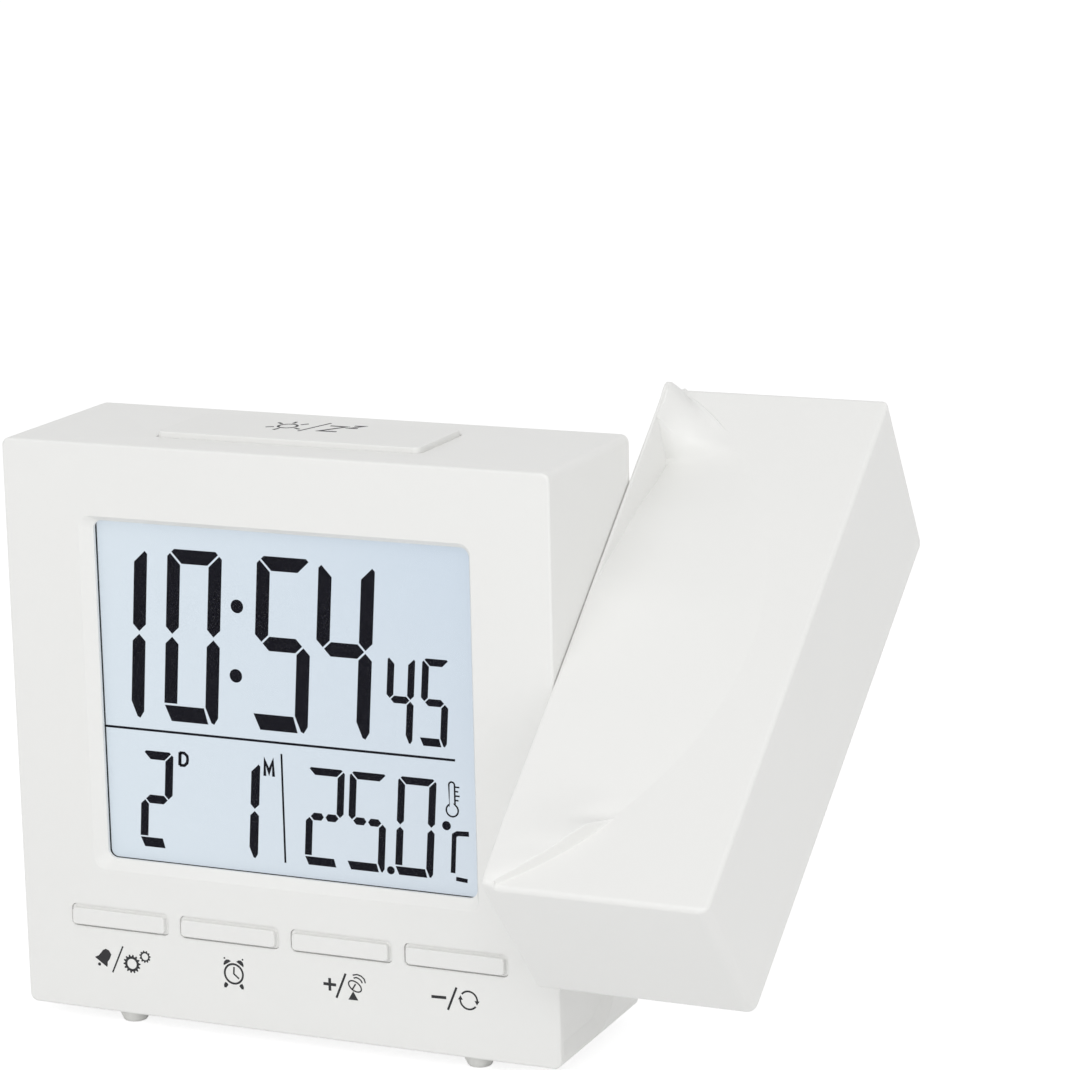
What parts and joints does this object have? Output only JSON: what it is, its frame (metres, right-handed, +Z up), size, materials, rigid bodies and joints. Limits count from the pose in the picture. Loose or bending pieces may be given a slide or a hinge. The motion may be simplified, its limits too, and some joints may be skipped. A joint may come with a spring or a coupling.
{
  "type": "projection alarm clock",
  "caption": "Flat white desk alarm clock with a display, front buttons, a snooze bar and a projector arm that turns on its right side.",
  "frame": {"origin": "on the desk plane, under the middle of the whole clock, arm included", "axes": "+X to the right seen from the front, +Y to the back, +Z up"},
  "size_m": [0.1179, 0.0904, 0.0924],
  "materials": {
    "case_white": "fine satin moulded ABS",
    "arm_white": "fine satin moulded ABS",
    "button_white": "satin moulded plastic",
    "clear_acrylic": "polished clear acrylic",
    "display_glass": "smooth display glass",
    "lens_glass": "polished optical plastic",
    "foot_rubber": "matte rubber",
    "contact_rubber": "matte elastomer",
    "black_plastic": "matte moulded plastic",
    "bush_plastic": "natural acetal",
    "circuit_green": "solder mask",
    "steel": "nickel plated",
    "ferrite": "sintered ferrite",
    "copper_wire": "enamelled winding",
    "beeper_brass": "plain disc",
    "cell_wrap": "printed-free shrink wrap"
  },
  "bodies": {
    "case": {"front_housing": "case_white", "rear_cover": "case_white", "lcd_window": "clear_acrylic", "lcd_panel": "display_glass", "light_guide": "clear_acrylic", "backlight_led": "lens_glass", "lcd_bracket": "case_white", "zebra_strip": "contact_rubber", "main_board": "circuit_green", "main_chip": "black_plastic", "quartz_crystal": "steel", "temperature_sensor": "black_plastic", "front_switches": "black_plastic", "board_screws": "steel", "snooze_springs": "steel", "snooze_board": "circuit_green", "snooze_switch": "black_plastic", "snooze_screws": "steel", "receiver_board": "circuit_green", "ferrite_rod": "ferrite", "antenna_coil": "copper_wire", "beeper": "beeper_brass", "battery_cells": "cell_wrap", "battery_contacts": "steel", "battery_springs": "steel", "dc_jack": "black_plastic", "jack_pin": "steel", "rear_board": "circuit_green", "slide_switch": "steel", "reset_switch": "black_plastic", "arm_socket": "bush_plastic", "pivot_bush": "bush_plastic", "spring_washer": "steel", "friction_washer": "bush_plastic", "feet": "foot_rubber", "housing_screws": "steel"},
    "settings_button": {"settings_button": "button_white"},
    "alarm_button": {"alarm_button": "button_white"},
    "plus_button": {"plus_button": "button_white"},
    "minus_button": {"minus_button": "button_white"},
    "snooze_bar": {"snooze_bar": "button_white"},
    "battery_door": {"battery_door": "case_white"},
    "projection_slider": {"projection_slider": "black_plastic"},
    "reset_button": {"reset_button": "button_white"},
    "arm": {"arm_inner_shell": "arm_white", "arm_outer_shell": "arm_white", "arm_screws": "steel", "pivot_tube": "steel", "retaining_ring": "steel", "arm_cable": "contact_rubber", "optics_tube": "black_plastic", "condenser_lens": "lens_glass", "projector_lcd": "display_glass", "projector_led": "lens_glass", "led_board": "circuit_green", "projector_board": "circuit_green"},
    "focus_ring": {"focus_ring": "black_plastic"},
    "lens_barrel": {"lens_barrel": "black_plastic", "projection_lens": "lens_glass"}
  },
  "joints": [
    {"name": "arm_hinge", "type": "hinge", "parent": "case", "child": "arm", "pos_m": [0.02705, -0.00417, 0.0488], "axis": [-1, 0, 0], "range_deg": [-144, 36]},
    {"name": "settings_button_press", "type": "slide", "parent": "case", "child": "settings_button", "axis": [0, 1, 0], "range_m": [0, 0.0005], "stiffness_N_per_m": 1000, "springref_m": -0.0003},
    {"name": "alarm_button_press", "type": "slide", "parent": "case", "child": "alarm_button", "axis": [0, 1, 0], "range_m": [0, 0.0005], "stiffness_N_per_m": 1000, "springref_m": -0.0003},
    {"name": "plus_button_press", "type": "slide", "parent": "case", "child": "plus_button", "axis": [0, 1, 0], "range_m": [0, 0.0005], "stiffness_N_per_m": 1000, "springref_m": -0.0003},
    {"name": "minus_button_press", "type": "slide", "parent": "case", "child": "minus_button", "axis": [0, 1, 0], "range_m": [0, 0.0005], "stiffness_N_per_m": 1000, "springref_m": -0.0003},
    {"name": "snooze_press", "type": "slide", "parent": "case", "child": "snooze_bar", "axis": [0, 0, -1], "range_m": [0, 0.0007], "stiffness_N_per_m": 1000, "springref_m": -0.0005},
    {"name": "battery_door_hinge", "type": "hinge", "parent": "case", "child": "battery_door", "pos_m": [-0.01595, 0.00793, 0.00805], "axis": [-1, 0, 0], "range_deg": [0, 80]},
    {"name": "projection_slide", "type": "slide", "parent": "case", "child": "projection_slider", "axis": [1, 0, 0], "range_m": [0, 0.003]},
    {"name": "reset_press", "type": "slide", "parent": "case", "child": "reset_button", "axis": [0, -1, 0], "range_m": [0, 0.0004], "stiffness_N_per_m": 1000, "springref_m": -0.0003},
    {"name": "focus_turn", "type": "hinge", "parent": "arm", "child": "focus_ring", "pos_m": [0.0435, 0.03237, 0.07506], "axis": [0, 0.8121, 0.5835], "range_deg": [0, 120]},
    {"name": "lens_slide", "type": "slide", "parent": "arm", "child": "lens_barrel", "axis": [0, 0.8121, 0.5835], "range_m": [0, 0.003]}
  ],
  "couplings": [
    {"joint": "focus_turn", "follows": "lens_slide", "rad_per_m": 698.13}
  ]
}
